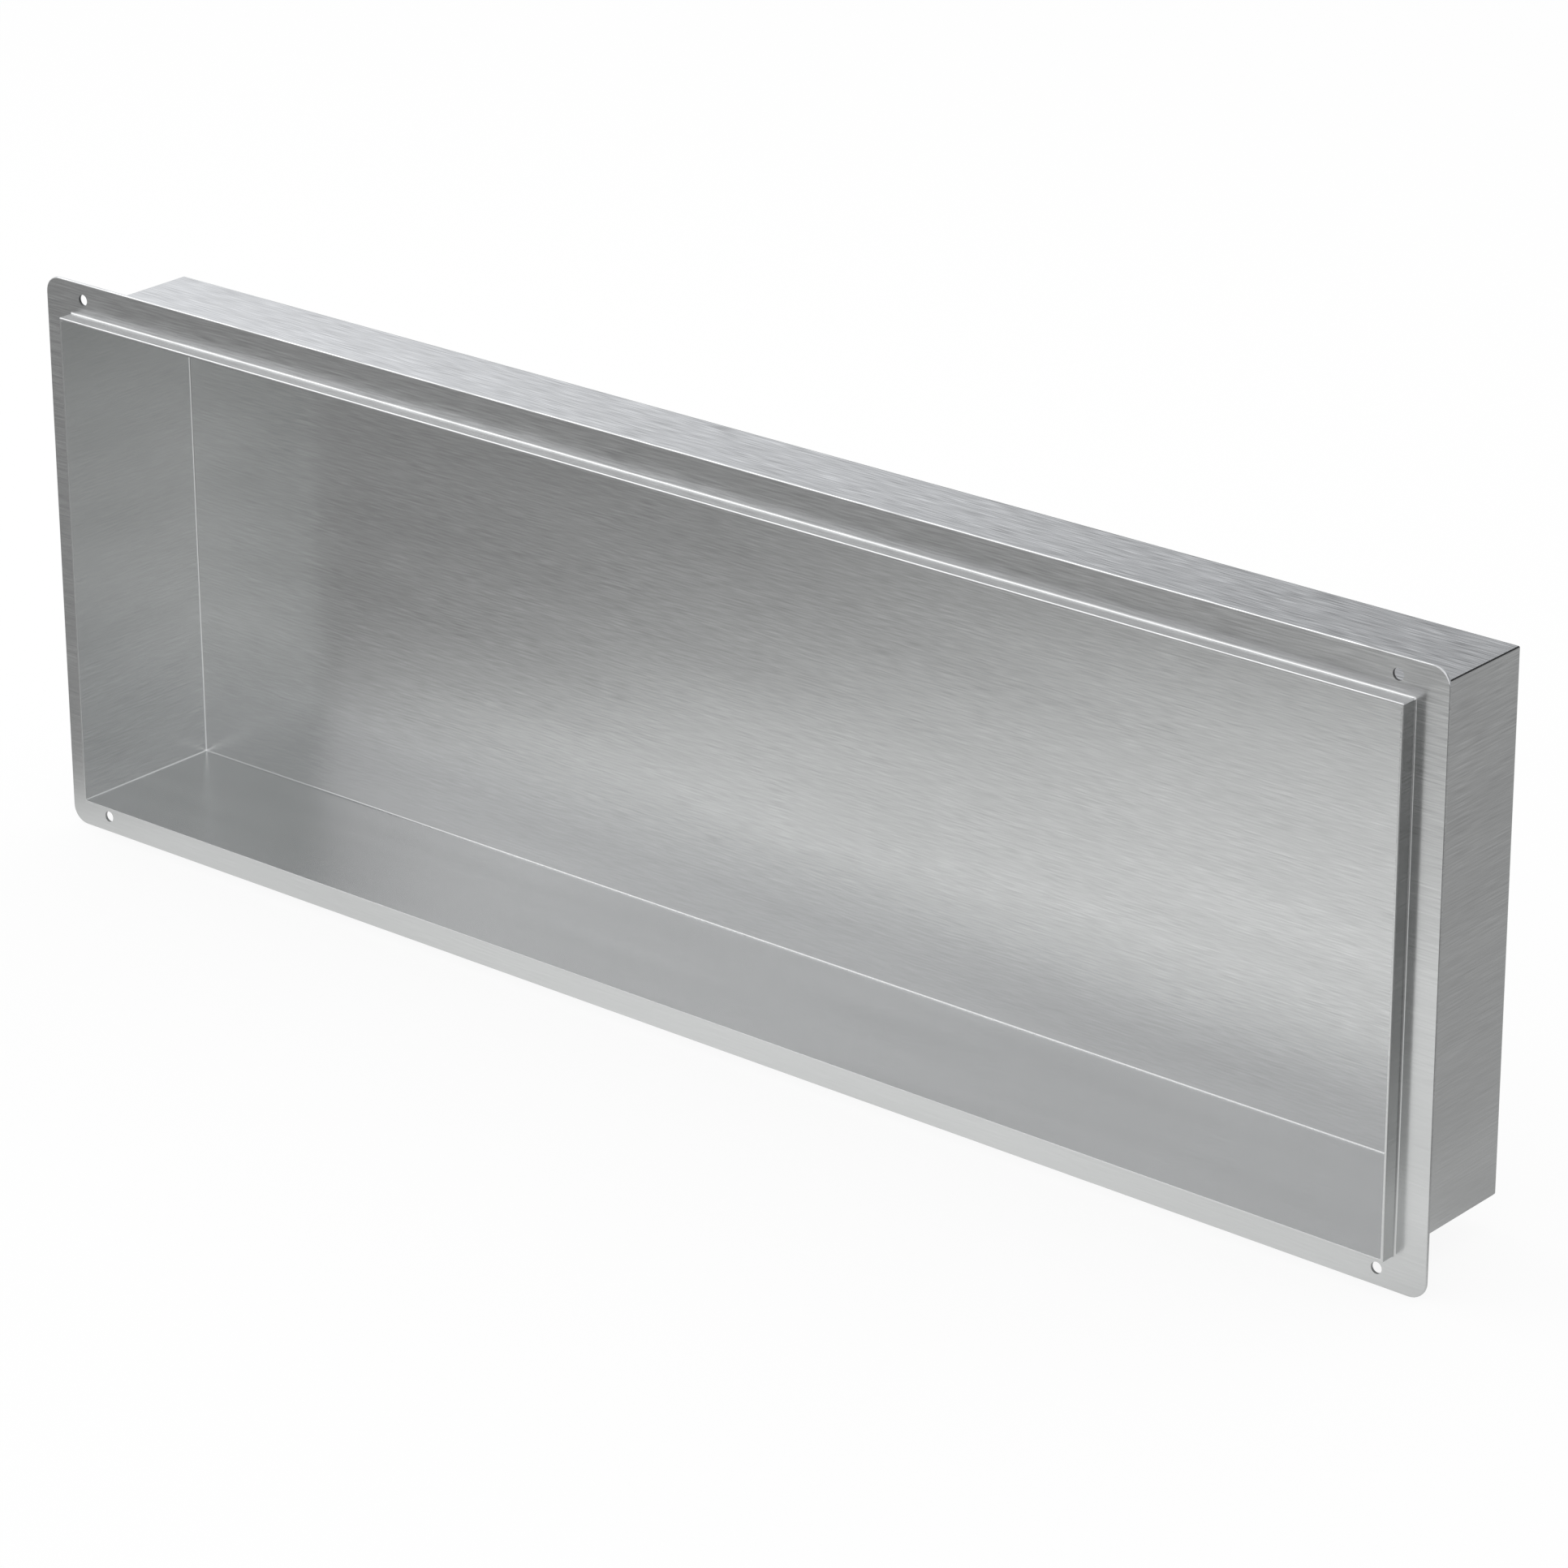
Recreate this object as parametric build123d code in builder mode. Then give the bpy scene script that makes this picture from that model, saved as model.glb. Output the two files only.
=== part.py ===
import os

from build123d import *

# Shower niche insert in brushed stainless sheet, in millimetres.
# A shallow tub is folded from one blank and its four corners are welded from inside. A flat flange is
# welded round it, set back from the mouth, so that tile laid over the flange butts against the lip.
# X runs along the niche, +Y goes into the wall and Z is up.
# The origin is the centre of the screw pattern, on the flange's back face, where it seats on the wall.

# Tub
tub_width = 900.0  # outside, along X
tub_height = 290.0  # outside, along Z
tub_depth = 98.0  # from the mouth to the outside of the back
sheet_thickness = 1.5
bend_radius = 1.0  # inside the folds at the back, and inside the welded corners
lip_height = 9.5  # from the flange's front face to the mouth
mouth_edge_radius = 0.5  # the sheared edge of the mouth, dressed smooth

# Flange
flange_width = 19.0  # beyond the tub, on all four sides
flange_thickness = 1.5
flange_corner_radius = 10.0
flange_edge_radius = 0.5  # its front edge, dressed smooth
weld_radius = 0.8  # fillet weld between the lip and the flange

# Corner seams, the open side of the welded corners behind the flange
seam_width = 0.6
seam_depth = 1.1

# Screw holes, one near each end of the flange's top and bottom strips
hole_diameter = 6.4
hole_inset = 10.0  # from the tub's side wall towards the middle

# Places that follow from the sizes
seat_plane = Plane.XZ
mouth_plane = seat_plane.offset(flange_thickness + lip_height)
back_y = tub_depth - flange_thickness - lip_height
hole_spacing_x = tub_width - 2 * hole_inset
hole_spacing_z = tub_height + flange_width
mouth_rounding = min(mouth_edge_radius, 0.4 * sheet_thickness)

os.makedirs("parts", exist_ok=True)

with BuildPart() as niche_body:
    # Outside of the tub, rounded where the back folds into the walls
    with BuildSketch(mouth_plane):
        Rectangle(tub_width, tub_height)
    extrude(amount=-tub_depth)
    outer_folds = niche_body.faces().sort_by(Axis.Y)[-1].edges()
    fillet(outer_folds, bend_radius + sheet_thickness)

    # Seams, where neighbouring walls meet on the mitre
    with BuildSketch(seat_plane):
        with Locations((tub_width / 2, tub_height / 2)):
            Rectangle(seam_width, 2 * seam_depth, rotation=-45)
        mirror(about=Plane.YZ)
        mirror(about=Plane.XZ)
    extrude(amount=-back_y, mode=Mode.SUBTRACT)

    # Flange plate, with its front edge dressed and its weld to the lip
    with BuildSketch(seat_plane):
        RectangleRounded(
            tub_width + 2 * flange_width,
            tub_height + 2 * flange_width,
            flange_corner_radius,
        )
    extrude(amount=flange_thickness)
    flange_front = niche_body.faces().filter_by(Axis.Y).group_by(Axis.Y)[1].face()
    fillet(flange_front.outer_wire().edges(), flange_edge_radius)
    flange_front = niche_body.faces().filter_by(Axis.Y).group_by(Axis.Y)[1].face()
    fillet(flange_front.inner_wires()[0].edges(), weld_radius)

    # Recess, with a radius in every fold and corner
    with BuildSketch(mouth_plane):
        Rectangle(tub_width - 2 * sheet_thickness, tub_height - 2 * sheet_thickness)
    extrude(amount=-(tub_depth - sheet_thickness), mode=Mode.SUBTRACT)
    mouth_edges, *inner_folds = niche_body.edges(Select.LAST).group_by(Axis.Y)
    fillet([edge for group in inner_folds for edge in group], bend_radius)

    # Mouth, dressed round on both sides of the sheet
    mouth_rim = niche_body.faces().filter_by(Axis.Y).sort_by(Axis.Y)[0]
    fillet(mouth_rim.edges(), mouth_rounding)

    # Screw holes through the flange
    with Locations(seat_plane.offset(flange_thickness)):
        with GridLocations(hole_spacing_x, hole_spacing_z, 2, 2):
            Hole(hole_diameter / 2)

niche_body.part.label = "niche_body"
export_step(niche_body.part, "parts/niche_body.step")
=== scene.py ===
import math

import bmesh
import bpy
from mathutils import Matrix, Vector


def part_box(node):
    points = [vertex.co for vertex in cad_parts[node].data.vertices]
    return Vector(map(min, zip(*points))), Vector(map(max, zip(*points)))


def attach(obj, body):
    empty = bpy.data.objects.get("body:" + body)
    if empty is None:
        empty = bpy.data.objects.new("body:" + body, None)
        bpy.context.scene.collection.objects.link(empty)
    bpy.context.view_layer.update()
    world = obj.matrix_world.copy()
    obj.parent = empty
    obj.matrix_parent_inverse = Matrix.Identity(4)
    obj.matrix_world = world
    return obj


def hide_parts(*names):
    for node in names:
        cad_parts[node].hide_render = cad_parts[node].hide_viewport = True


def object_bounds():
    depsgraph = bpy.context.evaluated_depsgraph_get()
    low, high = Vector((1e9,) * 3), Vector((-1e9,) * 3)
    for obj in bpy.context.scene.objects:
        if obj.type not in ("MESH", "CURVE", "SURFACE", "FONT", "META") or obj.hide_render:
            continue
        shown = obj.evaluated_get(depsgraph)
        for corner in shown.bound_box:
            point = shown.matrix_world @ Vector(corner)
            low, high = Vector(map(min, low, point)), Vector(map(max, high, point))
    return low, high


# Shower niche insert in brushed stainless sheet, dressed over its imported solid, in metres.
# X runs along the niche, +Y goes into the wall and Z is up.

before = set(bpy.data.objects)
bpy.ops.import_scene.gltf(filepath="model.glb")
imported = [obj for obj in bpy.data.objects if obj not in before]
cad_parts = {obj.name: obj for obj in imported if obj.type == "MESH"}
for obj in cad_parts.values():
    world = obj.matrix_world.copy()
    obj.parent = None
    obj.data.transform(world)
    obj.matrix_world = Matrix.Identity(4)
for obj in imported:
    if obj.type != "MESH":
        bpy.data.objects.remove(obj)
cadLow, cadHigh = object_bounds()
print("frame loaded", list(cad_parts))

mm = 0.001
xAxis, yAxis, zAxis = Vector((1, 0, 0)), Vector((0, 1, 0)), Vector((0, 0, 1))
corners = [(sideX, sideZ) for sideX in (-1, 1) for sideZ in (-1, 1)]


# Node helpers

def addNode(tree, kind, **settings):
    made = tree.nodes.new(kind)
    for name, value in settings.items():
        setattr(made, name, value)
    return made


def setInputs(made, **values):
    for name, value in values.items():
        made.inputs[name.replace("_", " ")].default_value = value
    return made


def join(tree, fromNode, output, toNode, entry):
    tree.links.new(fromNode.outputs[output], toNode.inputs[entry])


def plug(tree, value, entry):
    if isinstance(value, bpy.types.NodeSocket):
        tree.links.new(value, entry)
    else:
        entry.default_value = value


def spread(tree, source, fromLow, fromHigh, toLow, toHigh):
    made = addNode(tree, "ShaderNodeMapRange")
    setInputs(made, From_Min=fromLow, From_Max=fromHigh, To_Min=toLow, To_Max=toHigh)
    plug(tree, source, made.inputs["Value"])
    return made.outputs["Result"]


def combine(tree, operation, first, second):
    made = addNode(tree, "ShaderNodeMath", operation=operation)
    plug(tree, first, made.inputs[0])
    plug(tree, second, made.inputs[1])
    return made.outputs["Value"]


def mixColours(tree, factor, first, second):
    made = addNode(tree, "ShaderNodeMix", data_type="RGBA")
    plug(tree, factor, made.inputs["Factor"])
    plug(tree, first, made.inputs[6])  # sockets 6 and 7 take the colours, 2 gives the mix
    plug(tree, second, made.inputs[7])
    return made.outputs[2]


def seenRays(tree, path):
    direct = combine(tree, "ADD", path.outputs["Is Camera Ray"], path.outputs["Is Glossy Ray"])
    return combine(tree, "ADD", direct, path.outputs["Is Transmission Ray"])


def toneRamp(tree, source, stops):
    low, high = stops[0][0], stops[-1][0]
    made = addNode(tree, "ShaderNodeValToRGB")
    made.color_ramp.interpolation = "EASE"
    marks = made.color_ramp.elements
    while len(marks) < len(stops):
        marks.new(0.5)
    for mark, (place, tone) in zip(marks, stops):
        mark.position = (place - low) / (high - low)
        mark.color = (tone, tone, tone, 1.0)
    plug(tree, spread(tree, source, low, high, 0.0, 1.0), made.inputs["Fac"])
    return made.outputs["Color"]


def emptyMaterial(name):
    made = bpy.data.materials.new(name)
    made.use_nodes = True
    made.node_tree.nodes.clear()
    return made, made.node_tree


def endTree(tree, shader, kind="ShaderNodeOutputMaterial"):
    made = addNode(tree, kind)
    plug(tree, shader, made.inputs["Surface"])


# Brushed steel, its grain along U of the piece's own map

steel = {
    "colour": (0.625, 0.635, 0.632),
    "roughness": 0.23,
    "roughnessSwing": 0.012,  # between smooth and coarse streaks
    "roughnessBand": (0.25, 0.75),
    "anisotropy": 0.85,  # more blur across the grain than along it
    "blurTurn": 0.25,  # in full turns from the grain
    "fineStreak": (14 * mm, 0.65 * mm),  # length and width
    "broadStreak": (30 * mm, 1.05 * mm),
    "scratch": (40 * mm, 1.3 * mm),
    "scratchBand": (0.74, 0.86),  # only the peaks of this noise are scratches
    "mottle": (300 * mm, 30 * mm),
    "mottleBand": (0.2, 0.8),
    "patch": (60 * mm, 14 * mm),  # where the grain shows more and less
    "patchBand": (0.3, 0.7),
    "patchShares": (0.75, 1.25),
    "grainSwing": 0.5,  # how far the streaks lighten and darken the steel
    "scratchLift": 0.08,
    "mottleSwing": 0.04,
    "relief": 0.01 * mm,  # depth of the streaks
}


def streaks(tree, grainMap, size, detail=0.0):
    length, width = size
    stretch = setInputs(addNode(tree, "ShaderNodeMapping"), Scale=(1 / length, 1 / width, 1))
    noise = addNode(tree, "ShaderNodeTexNoise", noise_dimensions="2D")
    setInputs(noise, Scale=1.0, Detail=detail, Roughness=0.5)
    join(tree, grainMap, "UV", stretch, "Vector")
    join(tree, stretch, "Vector", noise, "Vector")
    return noise.outputs["Fac"]


def brushedSteel():
    made, tree = emptyMaterial("brushed_steel_grain")
    grainMap = addNode(tree, "ShaderNodeUVMap", uv_map="grain")
    fine = streaks(tree, grainMap, steel["fineStreak"])
    broad = streaks(tree, grainMap, steel["broadStreak"])
    grain = combine(tree, "MULTIPLY", combine(tree, "ADD", fine, broad), 0.5)
    scratch = streaks(tree, grainMap, steel["scratch"])
    scratch = spread(tree, scratch, *steel["scratchBand"], 0.0, steel["scratchLift"])
    swing = steel["mottleSwing"]
    mottle = streaks(tree, grainMap, steel["mottle"], detail=1.0)
    mottle = spread(tree, mottle, *steel["mottleBand"], -swing, swing)

    swing = steel["grainSwing"]
    tone = combine(tree, "ADD", spread(tree, grain, 0.0, 1.0, -swing, swing), scratch)
    patch = streaks(tree, grainMap, steel["patch"], detail=1.0)
    patch = spread(tree, patch, *steel["patchBand"], *steel["patchShares"])
    tone = combine(tree, "MULTIPLY", tone, patch)
    share = addNode(tree, "ShaderNodeAttribute", attribute_name="grainShare")
    tone = combine(tree, "MULTIPLY", tone, share.outputs["Fac"])
    tone = combine(tree, "ADD", combine(tree, "ADD", tone, mottle), 1.0)
    # painted light and shade: this attribute brightens or darkens the steel's colour on some walls
    paintedLight = addNode(tree, "ShaderNodeAttribute", attribute_name="paintedLight")
    tone = combine(tree, "MULTIPLY", tone, paintedLight.outputs["Fac"])
    colour = addNode(tree, "ShaderNodeVectorMath", operation="SCALE")
    colour.inputs[0].default_value = steel["colour"]
    plug(tree, tone, colour.inputs["Scale"])

    along = addNode(tree, "ShaderNodeTangent", direction_type="UV_MAP", uv_map="grain")
    swing = steel["roughnessSwing"]
    smoothest, coarsest = steel["roughness"] - swing, steel["roughness"] + swing
    rough = spread(tree, grain, *steel["roughnessBand"], smoothest, coarsest)
    relief = setInputs(addNode(tree, "ShaderNodeBump"), Strength=1.0, Distance=steel["relief"])
    plug(tree, grain, relief.inputs["Height"])
    shader = addNode(tree, "ShaderNodeBsdfPrincipled")
    setInputs(shader, Metallic=1.0, Anisotropic=steel["anisotropy"],
              Anisotropic_Rotation=steel["blurTurn"])
    join(tree, colour, "Vector", shader, "Base Color")
    plug(tree, rough, shader.inputs["Roughness"])
    join(tree, along, "Tangent", shader, "Tangent")
    join(tree, relief, "Normal", shader, "Normal")
    endTree(tree, shader.outputs["BSDF"])
    return made


# Unpolished steel of the open seams and of the screw holes, darkened with painted shade in the slits and
# bores

cutSteelShades = {
    "grit": 900.0,  # specks to the metre
    "heights": (-0.15, 0.15),  # of the lower and the upper holes
    # the seams' dark tones are partly the oxide of the cut and partly painted shade in the slits
    "seam": {
        "name": "seam_steel_and_shade",
        "dark": (0.07, 0.071, 0.071, 1.0),
        "light": (0.14, 0.14, 0.139, 1.0),
        "roughness": 0.6,
        "lowerLight": 1.0,
    },
    # the bores' dark tones are painted shade inside the holes
    "bore": {
        "name": "bore_steel_painted_shade",
        "dark": (0.09, 0.091, 0.091, 1.0),
        "light": (0.17, 0.171, 0.17, 1.0),
        "roughness": 0.5,
        "lowerLight": 2.8,  # painted light: the lower holes are brighter, as the floor would light them
    },
}


def cutSteel(cutLook):
    made, tree = emptyMaterial(cutLook["name"])
    place = addNode(tree, "ShaderNodeTexCoord")
    noise = setInputs(addNode(tree, "ShaderNodeTexNoise"), Scale=cutSteelShades["grit"], Detail=2.0)
    join(tree, place, "Object", noise, "Vector")
    colour = mixColours(tree, noise.outputs["Fac"], cutLook["dark"], cutLook["light"])
    height = addNode(tree, "ShaderNodeSeparateXYZ")
    join(tree, place, "Object", height, "Vector")
    # painted light on the lower holes, scaled by height
    share = spread(tree, height.outputs["Z"], *cutSteelShades["heights"], cutLook["lowerLight"], 1.0)
    shade = addNode(tree, "ShaderNodeVectorMath", operation="SCALE")
    plug(tree, colour, shade.inputs[0])
    plug(tree, share, shade.inputs["Scale"])
    shader = addNode(tree, "ShaderNodeBsdfPrincipled")
    setInputs(shader, Metallic=1.0, Roughness=cutLook["roughness"])
    join(tree, shade, "Vector", shader, "Base Color")
    endTree(tree, shader.outputs["BSDF"])
    return made


# Niche body: tub, lip and flange in one closed sheet

niche = {
    "node": "niche_body",
    "sheet": 1.5 * mm,
    "flangeWidth": 19.0 * mm,
    "flangeThickness": 1.5 * mm,
    "flangeCorner": 10.0 * mm,
    "cornerSteps": 9,  # facets round each corner seen from the front, so that all rings match
    "lipCorner": 0.75 * mm,
    "innerFold": 0.9 * mm,
    "outerFold": 2.5 * mm,
    "foldSteps": 6,
    "weldSteps": 5,
    "edgeSteps": 3,
    "mouthOuter": 0.65 * mm,  # dressing of the mouth's two edges
    "mouthInner": 0.25 * mm,
    "rimBand": 0.6 * mm,
    "weld": 1.15 * mm,  # fillet weld between lip and flange
    "flangeEdge": 0.7 * mm,
    "holeRadius": 3.2 * mm,
    "holeInset": 10.0 * mm,  # from the tub's side wall towards the middle
    "holePatch": 14.0 * mm,  # stretch of flange that each hole is opened in
    "holeSteps": 10,  # facets on each quarter of a hole
    "seamWidth": 0.85 * mm,
    "seamDepth": 1.3 * mm,
    "seamSlant": math.radians(45),  # each slit points at the middle of its corner
    "seamSlot": 1,  # material slots of the seams and of the bores
    "boreSlot": 2,
    "backLitEnd": 120.0 * mm,  # stretch at the back's left end that takes its own grain and painted light
    "backFoot": 90.0 * mm,  # height over which the grain fades towards the foot
    "innerGrain": (1.3, 1.1),  # the grain inside is shorter and finer
    "outerShift": 1.3,  # keeps the outside's map clear of the inside's
    "near": 0.01 * mm,  # how close counts as on a plane
    "aligned": 0.999,  # cosine that counts as along an axis
    "folded": 0.995,  # cosine under which a face belongs to a fold
    "sharpAngle": math.radians(40),
    "flatWeight": 100,  # how firmly the large faces keep their own normals
}


def isNear(a, b):
    return abs(a - b) < niche["near"]


def once(items):
    return list(dict.fromkeys(items))  # in the order met, which a set would lose


def edgesAlong(bm, axis, test):
    picked = []
    for edge in bm.edges:
        start, end = (v.co for v in edge.verts)
        slant = abs((end - start).normalized().dot(axis))
        if slant > niche["aligned"] and test((start + end) / 2):
            picked.append(edge)
    return picked


def splitAt(bm, faces, place, axis):
    geom = once(g for f in faces for g in [*f.verts, *f.edges, f])
    bmesh.ops.bisect_plane(bm, geom=geom, dist=niche["near"], plane_co=place, plane_no=axis)


def roundEdges(bm, edges, radius, steps):
    bmesh.ops.bevel(bm, geom=edges, offset=radius, offset_type="OFFSET", segments=steps, profile=0.5,
                    affect="EDGES", material=-1, clamp_overlap=False)


def addBlock(bm, low, high):
    size = high - low
    made = bmesh.ops.create_cube(bm, size=1.0)["verts"]
    bmesh.ops.scale(bm, vec=size, verts=made)
    bmesh.ops.translate(bm, vec=(low + high) / 2, verts=made)
    sides = once(f for v in made for f in v.link_faces)
    front = min(sides, key=lambda f: f.calc_center_median().y)
    bmesh.ops.delete(bm, geom=[front], context="FACES_ONLY")


def ringAt(bm, y, test):
    def inRing(edge):
        return all(isNear(v.co.y, y) and test(v.co) for v in edge.verts)
    return [edge for edge in bm.edges if inRing(edge)]


def buildTub(bm, tubLow, tubHigh):
    def onCorner(p):
        return isNear(abs(p.x), tubHigh.x) and isNear(abs(p.z), tubHigh.z)

    addBlock(bm, tubLow, tubHigh)
    backEdges = ringAt(bm, tubHigh.y, lambda p: True)
    roundEdges(bm, backEdges, niche["outerFold"], niche["foldSteps"])
    cornerEdges = edgesAlong(bm, yAxis, onCorner)
    roundEdges(bm, cornerEdges, niche["lipCorner"], niche["cornerSteps"])
    print("tub folded", len(bm.faces), "faces")


def cornerCentre(high, radius, sideX, sideZ):
    return Vector((sideX * (high.x - radius), 0, sideZ * (high.z - radius)))


def buildFlange(bm, tubHigh, flangeHigh):
    frontY, backY = -niche["flangeThickness"], 0.0
    for y in (frontY, backY):
        splitAt(bm, bm.faces, (0, y, 0), yAxis)
    band = [f for f in bm.faces if frontY < f.calc_center_median().y < backY]
    grown = bmesh.ops.extrude_face_region(bm, geom=band)["geom"]
    rim = [g for g in grown if isinstance(g, bmesh.types.BMVert)]
    bmesh.ops.delete(bm, geom=band, context="FACES")
    # each corner of the band grows about its own centre into the flange's larger corner
    growth = niche["flangeCorner"] / niche["lipCorner"]
    for sideX, sideZ in corners:
        corner = [v for v in rim if v.co.x * sideX > 0 and v.co.z * sideZ > 0]
        oldCentre = cornerCentre(tubHigh, niche["lipCorner"], sideX, sideZ)
        newCentre = cornerCentre(flangeHigh, niche["flangeCorner"], sideX, sideZ)
        bmesh.ops.scale(bm, vec=(growth, 1, growth), space=Matrix.Translation(-oldCentre), verts=corner)
        bmesh.ops.translate(bm, vec=newCentre - oldCentre, verts=corner)
    print("flange drawn out", len(bm.faces), "faces")


def buildRecess(bm, tubLow, tubHigh):
    inset = Vector((niche["sheet"], 0, niche["sheet"]))
    recessLow = tubLow + inset
    recessHigh = tubHigh - inset - Vector((0, niche["sheet"], 0))
    outsideFaces = set(bm.faces)
    addBlock(bm, recessLow, recessHigh)
    recessFaces = [f for f in bm.faces if f not in outsideFaces]
    folds = once(e for f in recessFaces for e in f.edges if not e.is_boundary)
    roundEdges(bm, folds, niche["innerFold"], niche["cornerSteps"])
    recessFaces = [f for f in bm.faces if f not in outsideFaces]
    bmesh.ops.reverse_faces(bm, faces=recessFaces)
    # a band of the rim that keeps the recess's own corner centres, so that its dressing stays even
    rimEdges = once(e for f in recessFaces for e in f.edges if e.is_boundary)
    grown = bmesh.ops.extrude_edge_only(bm, edges=rimEdges)["geom"]
    growth = (niche["innerFold"] + niche["rimBand"]) / niche["innerFold"]
    for vert in [g for g in grown if isinstance(g, bmesh.types.BMVert)]:
        for axis in (0, 2):
            centre = math.copysign(recessHigh[axis] - niche["innerFold"], vert.co[axis])
            vert.co[axis] = centre + (vert.co[axis] - centre) * growth
    mouth = [e for e in bm.edges if e.is_boundary]
    bmesh.ops.bridge_loops(bm, edges=mouth)
    print("recess joined at the mouth", len(bm.faces), "faces")


def dressEdges(bm, tubLow, tubHigh, flangeHigh):
    mouthY, flangeY = tubLow.y, -niche["flangeThickness"]
    halfSheet = niche["sheet"] / 2
    recess = tubHigh - Vector((1, 0, 1)) * (niche["sheet"] - niche["near"])

    def outsideLip(p):
        return abs(p.x) > tubHigh.x - halfSheet or abs(p.z) > tubHigh.z - halfSheet

    def onRecess(p):
        return abs(p.x) < recess.x and abs(p.z) < recess.z

    def onFlangeEdge(p):
        middle = (tubHigh + flangeHigh) / 2
        return abs(p.x) > middle.x or abs(p.z) > middle.z

    def flangeRing(edge, outer):
        return all(isNear(v.co.y, flangeY) and onFlangeEdge(v.co) == outer for v in edge.verts)

    steps = niche["edgeSteps"]
    roundEdges(bm, [e for e in bm.edges if flangeRing(e, False)], niche["weld"], niche["weldSteps"])
    roundEdges(bm, [e for e in bm.edges if flangeRing(e, True)], niche["flangeEdge"], steps)
    roundEdges(bm, ringAt(bm, mouthY, outsideLip), niche["mouthOuter"], steps)
    roundEdges(bm, ringAt(bm, mouthY, onRecess), niche["mouthInner"], steps)
    print("weld, mouth and flange edges dressed", len(bm.faces), "faces")


def openHoles(bm, tubHigh, flangeHigh):
    holeX = tubHigh.x - niche["holeInset"]
    holeZ = (tubHigh.z + flangeHigh.z) / 2
    radius = niche["holeRadius"]
    reach = niche["holePatch"] / 2

    def isPatch(face, centre):
        middle = face.calc_center_median()
        isFlat = abs(face.normal.y) > niche["aligned"]
        isStrip = abs(middle.z) > tubHigh.z and middle.z * centre.z > 0
        return isFlat and isStrip and abs(middle.x - centre.x) < reach / 2

    for sideX in (-1, 1):
        for x in (holeX - reach, holeX + reach):
            flange = [f for f in bm.faces if abs(f.calc_center_median().z) > tubHigh.z + niche["near"]]
            splitAt(bm, flange, (sideX * x, 0, 0), xAxis)
    for sideX, sideZ in corners:
        centre = Vector((sideX * holeX, 0, sideZ * holeZ))
        rims = []
        for patch in [f for f in bm.faces if isPatch(f, centre)]:
            bmesh.ops.inset_region(bm, faces=[patch], thickness=reach - radius, use_even_offset=True)
            rim = list(patch.edges)
            bmesh.ops.delete(bm, geom=[patch], context="FACES_ONLY")
            split = bmesh.ops.bisect_edges(bm, edges=rim, cuts=niche["holeSteps"] - 1)["geom_split"]
            rims += [e for e in once([*rim, *split]) if isinstance(e, bmesh.types.BMEdge)]
        for vert in once(v for e in rims for v in e.verts):
            out = Vector((vert.co.x - centre.x, 0, vert.co.z - centre.z)).normalized()
            vert.co = Vector((centre.x, vert.co.y, centre.z)) + out * radius
        for bore in bmesh.ops.bridge_loops(bm, edges=rims)["faces"]:
            bore.material_index = niche["boreSlot"]
    print("screw holes opened", len(bm.faces), "faces")


# How strongly the grain shows on each wall, and the painted light or shade that brightens or darkens its
# steel

wallGrainAndLight = {
    "back": (0.34, 1.0),
    "backLitEnd": (0.16, 1.12),  # at its left end, 1.12 as bright: painted light
    "flangeTop": (0.48, 1.0),  # fades down to the lower strip, which is polished smoother
    "flangeLeft": (0.3, 1.0),
    "flangeRight": (0.08, 1.0),
    "flangeBottom": (0.08, 1.0),
    "outsideLeft": (0.65, 1.0),
    "outsideRight": (1.3, 1.0),
    # the lip's outside is 0.92 as bright: painted shade
    "lip": (0.3, 0.92),
    "endsTop": (0.48, 1.0),
    "endsBottom": (0.1, 1.0),
    # the inside ends darken towards their top: painted shade
    "innerEndsTop": (0.08, 0.72),
    "innerEndsBottom": (0.2, 0.98),
    "innerFloor": (0.05, 1.0),
    "innerFoldHighlight": (0.0, 1.15),  # painted highlight along the inside folds, with no grain
}


def drift(start, end, share):
    return [a + share * (b - a) for a, b in zip(wallGrainAndLight[start], wallGrainAndLight[end])]


def grainAndLightAt(place, half, isInside, isFold, isEnd, isTopOrFloor):
    length = (place.x / half.x + 1) / 2
    height = (place.z / half.z + 1) / 2
    foot = niche["backFoot"] / (2 * half.z)
    if isFold:
        return wallGrainAndLight["innerFoldHighlight"]
    if isEnd:
        if isInside:
            return drift("innerEndsBottom", "innerEndsTop", height)
        return drift("endsBottom", "endsTop", height)
    if isTopOrFloor:
        if isInside:
            return wallGrainAndLight["innerFloor"]
        if place.y > -niche["flangeThickness"]:
            return drift("outsideLeft", "outsideRight", length)
        return wallGrainAndLight["lip"]
    if isInside:
        left = 1 - (place.x + half.x) / niche["backLitEnd"]
        share, paintedLight = drift("back", "backLitEnd", max(0.0, left))
        return share * min(1.0, height / foot), paintedLight
    side = "flangeLeft" if place.x < 0 else "flangeRight"
    if height < foot:
        return drift("flangeBottom", side, height / foot)
    return drift(side, "flangeTop", (height - foot) / (1 - foot))


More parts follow.
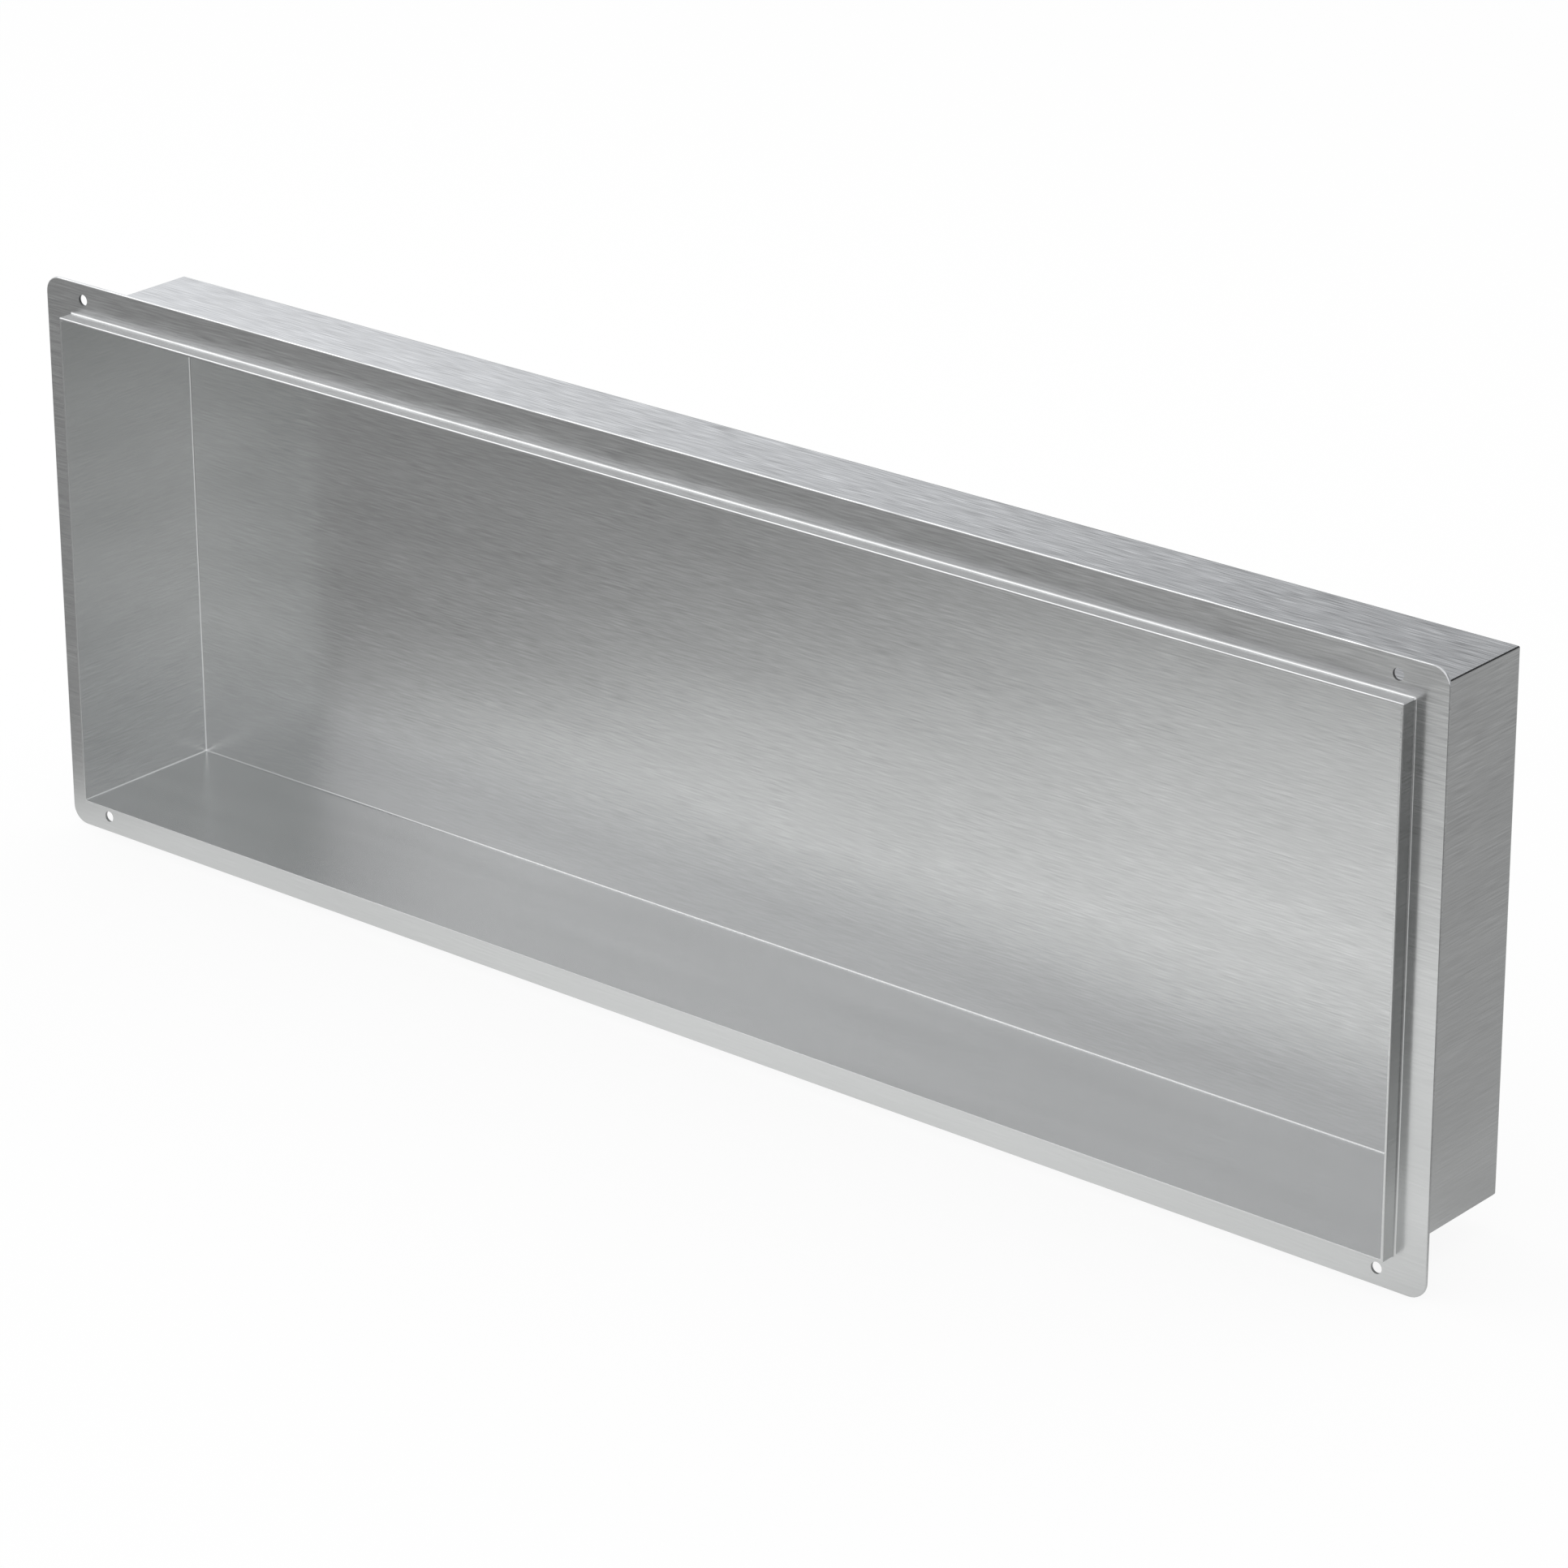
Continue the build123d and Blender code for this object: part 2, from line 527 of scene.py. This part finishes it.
def mapGrain(bm, tubHigh, flangeHigh):
    # the map lies as on the flat blank before folding: U follows the grain, V crosses it
    layer = bm.loops.layers.uv.new("grain")
    share = bm.loops.layers.float.new("grainShare")
    paintedLight = bm.loops.layers.float.new("paintedLight")
    wall = Vector((tubHigh.x, 0, tubHigh.z)) - Vector((1, 0, 1)) * niche["sheet"] / 2
    backWall = tubHigh.y - niche["sheet"] / 2
    for face in bm.faces:
        normal, middle = face.normal, face.calc_center_median()
        isInside = abs(middle.x) < wall.x and abs(middle.z) < wall.z and middle.y < backWall
        isEnd = abs(normal.x) > max(abs(normal.y), abs(normal.z))
        isTopOrFloor = abs(normal.z) > abs(normal.y) and not isEnd
        isFold = isInside and middle.y > 0 and max(abs(part) for part in normal) < niche["folded"]
        shift = 0.0 if isInside else niche["outerShift"]
        finer = niche["innerGrain"] if isInside else (1.0, 1.0)
        for loop in face.loops:
            p = loop.vert.co
            place = Vector((p.x, middle.y, p.z))
            loop[share], loop[paintedLight] = grainAndLightAt(place, flangeHigh, isInside, isFold, isEnd, isTopOrFloor)
            depth = tubHigh.y - p.y
            if isEnd:
                flat = (math.copysign(tubHigh.x + depth, middle.x), p.z + shift)
            elif isTopOrFloor:
                flat = (p.x, math.copysign(tubHigh.z + depth, middle.z) + shift)
            else:
                flat = (p.x, p.z + p.y + shift)
            loop[layer].uv = (flat[0] * finer[0], flat[1] * finer[1])


def cutSeams(body, tubHigh):
    # the slits that the folded walls leave along their corners behind the flange
    slitLength = tubHigh.y + niche["seamDepth"]
    bm = bmesh.new()
    for sideX, sideZ in corners:
        made = bmesh.ops.create_cube(bm, size=1.0)["verts"]
        bmesh.ops.scale(bm, vec=(niche["seamWidth"], slitLength, 2 * niche["seamDepth"]), verts=made)
        slant = Matrix.Rotation(niche["seamSlant"] * sideX * sideZ, 3, "Y")
        bmesh.ops.rotate(bm, matrix=slant, verts=made)
        bmesh.ops.translate(bm, vec=(sideX * tubHigh.x, slitLength / 2, sideZ * tubHigh.z), verts=made)
    for face in bm.faces:
        face.material_index = niche["seamSlot"]
    blade = bpy.data.meshes.new("seam_blade")
    bm.to_mesh(blade)
    bm.free()
    for material in body.data.materials:
        blade.materials.append(material)
    cutter = bpy.data.objects.new("seam_blade", blade)
    bpy.context.scene.collection.objects.link(cutter)
    cut = body.modifiers.new("seams", "BOOLEAN")
    cut.object = cutter
    cut.operation = "DIFFERENCE"
    cut.solver = "EXACT"
    bpy.context.view_layer.update()
    cutMesh = bpy.data.meshes.new_from_object(body.evaluated_get(bpy.context.evaluated_depsgraph_get()))
    body.modifiers.clear()
    wholeMesh = body.data
    body.data = cutMesh
    bpy.data.objects.remove(cutter)
    bpy.data.meshes.remove(blade)
    bpy.data.meshes.remove(wholeMesh)
    cutMesh.name = body.name
    print("corner seams cut", len(cutMesh.polygons), "faces")


def buildNiche():
    flangeLow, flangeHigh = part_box(niche["node"])
    inset = Vector((niche["flangeWidth"], 0, niche["flangeWidth"]))
    tubLow, tubHigh = flangeLow + inset, flangeHigh - inset
    bm = bmesh.new()
    buildTub(bm, tubLow, tubHigh)
    buildFlange(bm, tubHigh, flangeHigh)
    buildRecess(bm, tubLow, tubHigh)
    dressEdges(bm, tubLow, tubHigh, flangeHigh)
    openHoles(bm, tubHigh, flangeHigh)
    # edges where the grain and the painted light start to drift
    turn = Vector((niche["backLitEnd"] - flangeHigh.x, 0, niche["backFoot"] - flangeHigh.z))
    for axis in (xAxis, zAxis):
        splitAt(bm, bm.faces, turn, axis)
    bmesh.ops.recalc_face_normals(bm, faces=bm.faces)
    mapGrain(bm, tubHigh, flangeHigh)
    mesh = bpy.data.meshes.new("niche_insert")
    bm.to_mesh(mesh)
    bm.free()
    mesh.materials.append(brushedSteel())
    mesh.materials.append(cutSteel(cutSteelShades["seam"]))
    mesh.materials.append(cutSteel(cutSteelShades["bore"]))
    body = bpy.data.objects.new("niche_insert", mesh)
    bpy.context.scene.collection.objects.link(body)
    cutSeams(body, tubHigh)
    body.data.shade_smooth()
    body.data.set_sharp_from_angle(angle=niche["sharpAngle"])
    flat = body.modifiers.new("flat_faces", "WEIGHTED_NORMAL")
    flat.mode = "FACE_AREA"
    flat.weight = niche["flatWeight"]
    flat.keep_sharp = True
    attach(body, "root")
    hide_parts(niche["node"])


buildNiche()
print("niche built")


# Floor, white to the camera, with the niche's soft shadow on it

floor = {
    "half": 9.0,  # half of the sheet's side
    "white": (1.0, 1.0, 1.0, 1.0),
    "paper": (0.95, 0.95, 0.95, 1.0),
    "shadowShare": 0.12,  # how much of the floor's look is lit, and so takes the shadow
    "stripTurn": math.radians(-46.9),  # the white strip that the steel reflects lies along the view
    # to glossy rays the floor glows in painted light and shade, a white strip between darker stretches that
    # the steel reflects
    "stripTones": [  # from the dark floor on the left, across the strip, to the grey on the right
        (-0.9, 0.2),
        (-0.45, 0.25),
        (-0.28, 0.88),
        (0.0, 0.98),
        (0.26, 0.92),
        (0.42, 0.42),
    ],
    "sideStart": (0.5, 0.62),  # the strip stops beside the niche's right end
    "sideTones": (0.11, 0.335),  # in front of the niche and behind it
    "sideTurn": (-0.05, 0.1),  # where the first gives way to the second
}


def floorMaterial():
    made, tree = emptyMaterial("studio_floor")
    made.cycles.emission_sampling = "NONE"
    place = addNode(tree, "ShaderNodeTexCoord")
    turn = addNode(tree, "ShaderNodeVectorRotate", rotation_type="Z_AXIS")
    turn.inputs["Angle"].default_value = floor["stripTurn"]
    across = addNode(tree, "ShaderNodeSeparateXYZ")
    join(tree, place, "Object", turn, "Vector")
    join(tree, turn, "Vector", across, "Vector")
    tones = toneRamp(tree, across.outputs["X"], floor["stripTones"])
    sideways = addNode(tree, "ShaderNodeSeparateXYZ")
    join(tree, place, "Object", sideways, "Vector")
    beside = spread(tree, sideways.outputs["X"], *floor["sideStart"], 0.0, 1.0)
    sideTone = spread(tree, sideways.outputs["Y"], *floor["sideTurn"], *floor["sideTones"])
    strip = mixColours(tree, beside, tones, sideTone)

    path = addNode(tree, "ShaderNodeLightPath")
    glow = addNode(tree, "ShaderNodeEmission")
    plug(tree, mixColours(tree, path.outputs["Is Glossy Ray"], floor["white"], strip), glow.inputs["Color"])
    paper = setInputs(addNode(tree, "ShaderNodeBsdfDiffuse"), Color=floor["paper"])
    seen = setInputs(addNode(tree, "ShaderNodeMixShader"), Fac=floor["shadowShare"])
    join(tree, glow, "Emission", seen, 1)
    join(tree, paper, "BSDF", seen, 2)
    whole = addNode(tree, "ShaderNodeMixShader")
    plug(tree, seenRays(tree, path), whole.inputs["Fac"])
    join(tree, paper, "BSDF", whole, 1)
    join(tree, seen, "Shader", whole, 2)
    endTree(tree, whole.outputs["Shader"])
    return made


def buildFloor():
    bm = bmesh.new()
    made = bmesh.ops.create_grid(bm, x_segments=1, y_segments=1, size=floor["half"])["verts"]
    bmesh.ops.translate(bm, vec=(0, 0, cadLow[2]), verts=made)
    mesh = bpy.data.meshes.new("studio_floor")
    bm.to_mesh(mesh)
    bm.free()
    mesh.materials.append(floorMaterial())
    sheet = bpy.data.objects.new("studio_floor", mesh)
    bpy.context.scene.collection.objects.link(sheet)


buildFloor()
print("floor laid")


# Studio: bright in front, a dark stretch behind the niche, and two softboxes

studio = {
    "brightSide": (-0.3, -0.954, 0.0),  # where the lit half of the studio lies
    "tones": [  # from straight behind to straight in front
        (-1.0, 0.5),
        (-0.64, 0.3),
        (-0.34, 1.12),
        (0.0, 1.2),
        (1.0, 0.9),
    ],
    "ceilingStart": (0.5, 0.8),  # height in the sky where the ceiling takes over
    "ceilingTones": (1.2, 0.7),  # at its edge, and overhead
    "overhead": (0.84, 0.94),  # height where the one gives way to the other
    "backTint": (0.985, 0.993, 1.03, 1.0),  # a slight blue behind the niche
    "frontTint": (1.0, 0.99, 1.01, 1.0),  # and a trace of violet in front
    "tintEnd": (-0.3, 0.1),  # where the blue gives way to the violet
    "roomLight": 1.14,  # what the surroundings give to matt surfaces
    "lamps": [  # name, place, size and power
        ("softbox_left", (-1.3, -0.3, 1.75), (1.5, 1.5), 8.0),
        ("softbox_top", (0.3, 0.2, 2.2), (1.6, 1.6), 2.5),
    ],
    "lampAim": (0.0, 0.0, 0.0),
}


def buildSky():
    world = bpy.data.worlds.new("studio")
    bpy.context.scene.world = world
    world.use_nodes = True
    world.cycles.sampling_method = "NONE"
    tree = world.node_tree
    tree.nodes.clear()
    place = addNode(tree, "ShaderNodeTexCoord")
    side = addNode(tree, "ShaderNodeVectorMath", operation="DOT_PRODUCT")
    side.inputs[1].default_value = studio["brightSide"]
    join(tree, place, "Generated", side, 0)
    tones = toneRamp(tree, side.outputs["Value"], studio["tones"])
    height = addNode(tree, "ShaderNodeSeparateXYZ")
    join(tree, place, "Generated", height, "Vector")
    ceiling = spread(tree, height.outputs["Z"], *studio["overhead"], *studio["ceilingTones"])
    isCeiling = spread(tree, height.outputs["Z"], *studio["ceilingStart"], 0.0, 1.0)
    isFront = spread(tree, side.outputs["Value"], *studio["tintEnd"], 0.0, 1.0)
    tinted = addNode(tree, "ShaderNodeVectorMath", operation="MULTIPLY")
    plug(tree, mixColours(tree, isCeiling, tones, ceiling), tinted.inputs[0])
    plug(tree, mixColours(tree, isFront, studio["backTint"], studio["frontTint"]), tinted.inputs[1])
    backdrop = addNode(tree, "ShaderNodeBackground")
    join(tree, tinted, "Vector", backdrop, "Color")
    room = setInputs(addNode(tree, "ShaderNodeBackground"), Strength=studio["roomLight"])
    path = addNode(tree, "ShaderNodeLightPath")
    both = addNode(tree, "ShaderNodeMixShader")
    plug(tree, seenRays(tree, path), both.inputs["Fac"])
    join(tree, room, "Background", both, 1)
    join(tree, backdrop, "Background", both, 2)
    endTree(tree, both.outputs["Shader"], "ShaderNodeOutputWorld")


def hangSoftboxes():
    for name, place, size, power in studio["lamps"]:
        lamp = bpy.data.lights.new(name, "AREA")
        lamp.shape = "RECTANGLE"
        lamp.size, lamp.size_y = size
        lamp.energy = power
        holder = bpy.data.objects.new(name, lamp)
        holder.location = place
        aim = Vector(studio["lampAim"]) - Vector(place)
        holder.rotation_euler = aim.to_track_quat("-Z", "Y").to_euler()
        bpy.context.scene.collection.objects.link(holder)


buildSky()
hangSoftboxes()
print("studio lit")


# Camera at the photo's angle

camera = {
    "place": (1.9157, -2.1827, 1.19),
    "azimuth": math.radians(40.309),
    "elevation": math.radians(22.592),
    "roll": math.radians(0.262),
    "lens": 139.09,  # in millimetres, as the sensor's width is
    "sensor": 36.0,
    "clip": (0.05, 50.0),
}


def buildCamera():
    lens = bpy.data.cameras.new("camera")
    lens.sensor_width = camera["sensor"]
    lens.lens = camera["lens"]
    lens.clip_start, lens.clip_end = camera["clip"]
    heading = Matrix.Rotation(camera["azimuth"], 4, "Z")
    pitch = Matrix.Rotation(math.pi / 2 - camera["elevation"], 4, "X")
    roll = Matrix.Rotation(-camera["roll"], 4, "Z")
    eye = bpy.data.objects.new("camera", lens)
    eye.matrix_world = Matrix.Translation(camera["place"]) @ heading @ pitch @ roll
    bpy.context.scene.collection.objects.link(eye)
    bpy.context.scene.camera = eye


buildCamera()
bpy.context.scene.view_settings.view_transform = "Standard"
print("camera set")
